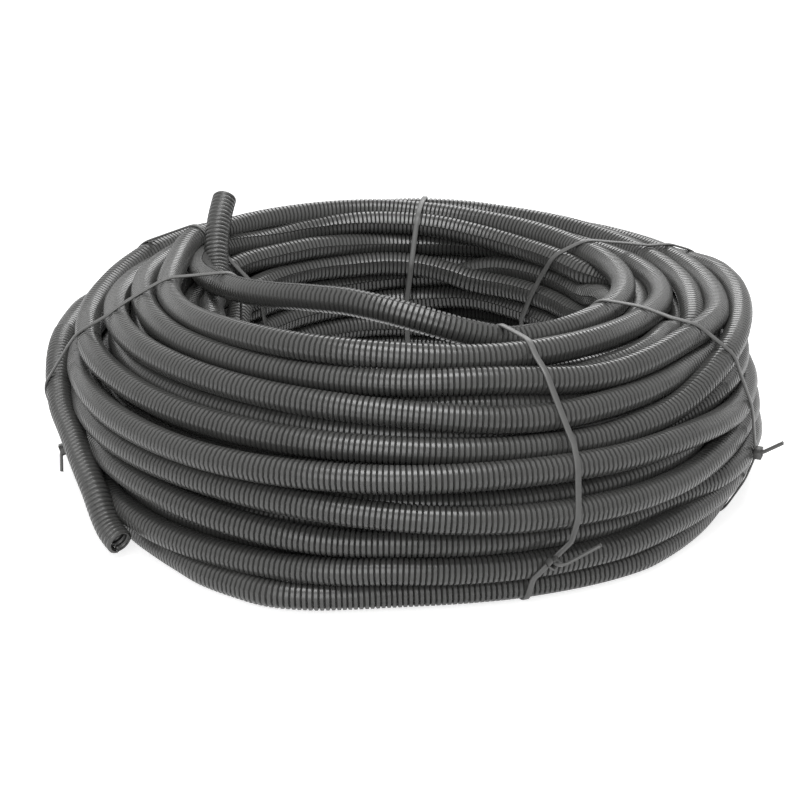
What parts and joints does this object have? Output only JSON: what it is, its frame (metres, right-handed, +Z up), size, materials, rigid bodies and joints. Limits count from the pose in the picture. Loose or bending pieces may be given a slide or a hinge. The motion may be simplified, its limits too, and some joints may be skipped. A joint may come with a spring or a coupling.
{
  "type": "corrugated conduit coil",
  "caption": "Tied coil of black split corrugated conduit for covering and routing cables, with both free ends open.",
  "frame": {"origin": "centre of the coil's eye, on the level floor that the coil's ties rest on", "axes": "+Z up along the coil's axis, -Y towards the side with the long tie tail, +X to the right seen from there"},
  "size_m": [0.4448, 0.4548, 0.1571],
  "materials": {
    "conduit_polypropylene": "satin",
    "cable_tie_nylon": "satin"
  },
  "bodies": {
    "root": {"conduit": "conduit_polypropylene", "cable_tie_front": "cable_tie_nylon", "cable_tie_right": "cable_tie_nylon", "cable_tie_back_right": "cable_tie_nylon", "cable_tie_back": "cable_tie_nylon", "cable_tie_back_left": "cable_tie_nylon", "cable_tie_left": "cable_tie_nylon"}
  },
  "joints": []
}
